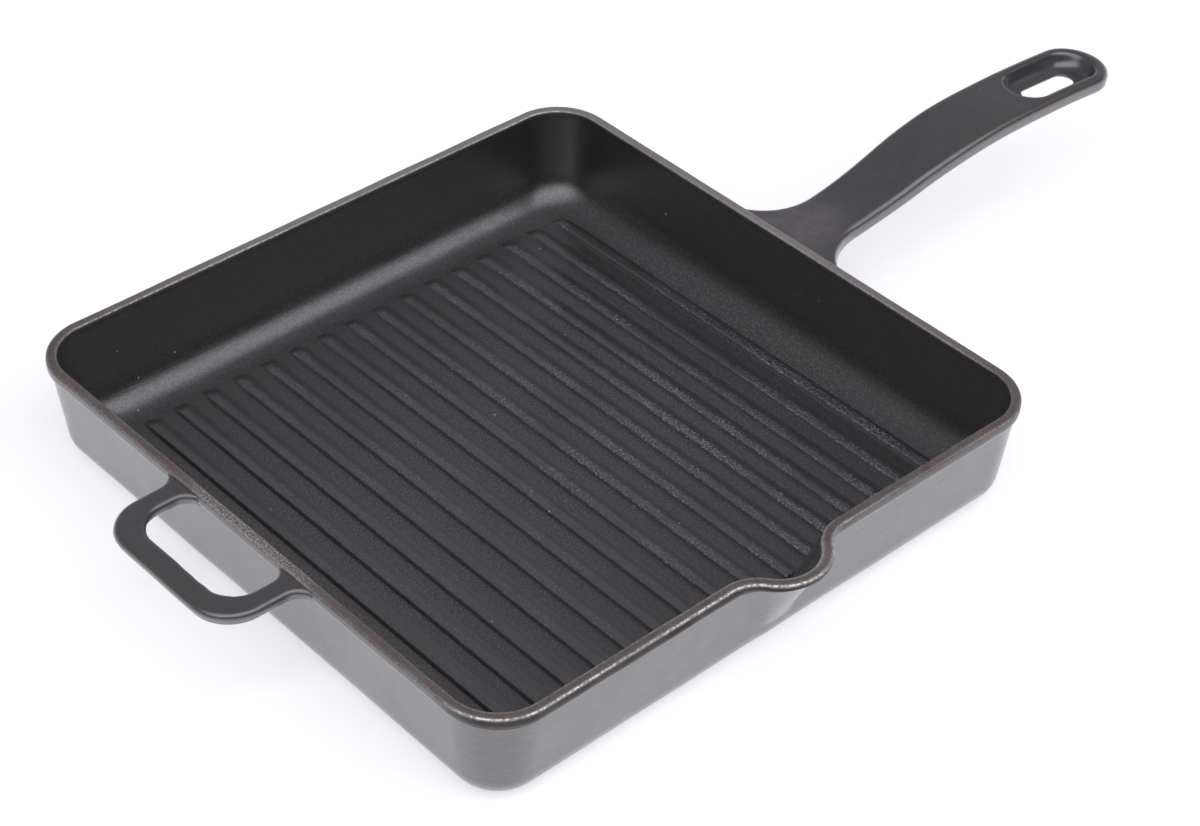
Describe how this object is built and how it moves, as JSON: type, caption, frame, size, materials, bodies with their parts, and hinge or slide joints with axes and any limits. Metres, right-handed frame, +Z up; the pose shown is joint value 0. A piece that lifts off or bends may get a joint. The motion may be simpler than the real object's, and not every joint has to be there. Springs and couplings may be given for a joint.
{
  "type": "grill pan",
  "caption": "Square cast-iron grill pan with a ribbed floor, a pouring lip, a long handle with a hanging slot and a looped helper handle.",
  "frame": {"origin": "centre of the flat base, in the plane that the pan rests on", "axes": "+X along the long handle, +Z up out of the cavity, the pouring lip at -Y and the helper handle at -X"},
  "size_m": [0.4711, 0.273, 0.057],
  "materials": {
    "enamelled_iron": "matt black enamel with a fine cast grain",
    "worn_rim_iron": "thin brown enamel worn along its edges",
    "ridge_iron": "matt black enamel, slightly polished on the crests"
  },
  "bodies": {
    "root": {"pan_base": "enamelled_iron", "pan_wall": "enamelled_iron", "rim_band": "worn_rim_iron", "long_handle": "enamelled_iron", "helper_handle": "enamelled_iron", "grill_ridge_01": "ridge_iron", "grill_ridge_02": "ridge_iron", "grill_ridge_03": "ridge_iron", "grill_ridge_04": "ridge_iron", "grill_ridge_05": "ridge_iron", "grill_ridge_06": "ridge_iron", "grill_ridge_07": "ridge_iron", "grill_ridge_08": "ridge_iron", "grill_ridge_09": "ridge_iron", "grill_ridge_10": "ridge_iron", "grill_ridge_11": "ridge_iron", "grill_ridge_12": "ridge_iron", "grill_ridge_13": "ridge_iron", "grill_ridge_14": "ridge_iron", "grill_ridge_15": "ridge_iron", "grill_ridge_16": "ridge_iron", "grill_ridge_17": "ridge_iron"}
  },
  "joints": []
}
